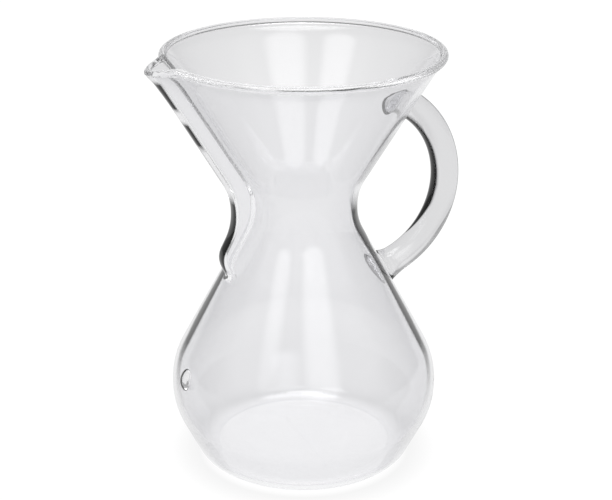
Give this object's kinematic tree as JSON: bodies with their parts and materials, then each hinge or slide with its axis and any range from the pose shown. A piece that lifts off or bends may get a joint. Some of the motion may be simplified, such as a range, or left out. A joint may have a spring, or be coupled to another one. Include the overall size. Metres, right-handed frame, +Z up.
{
  "type": "pour-over coffee maker",
  "caption": "Clear glass hourglass pour-over coffee maker: a filter funnel over a round carafe, with a moulded spout and air channel, a bent rod handle and a level button.",
  "frame": {"origin": "centre of the flat base, on the surface that the maker stands on", "axes": "+Z up along the axis of the vessel, +X towards the handle, -X towards the spout"},
  "size_m": [0.1616, 0.1356, 0.21],
  "materials": {
    "vessel_glass": "clear fire-polished blown glass, smooth inside and out",
    "handle_glass": "clear solid glass rod, fire-polished",
    "button_glass": "clear glass drop fused to the wall, fire-polished"
  },
  "bodies": {
    "root": {"carafe_body": "vessel_glass", "handle": "handle_glass", "level_button": "button_glass"}
  },
  "joints": []
}
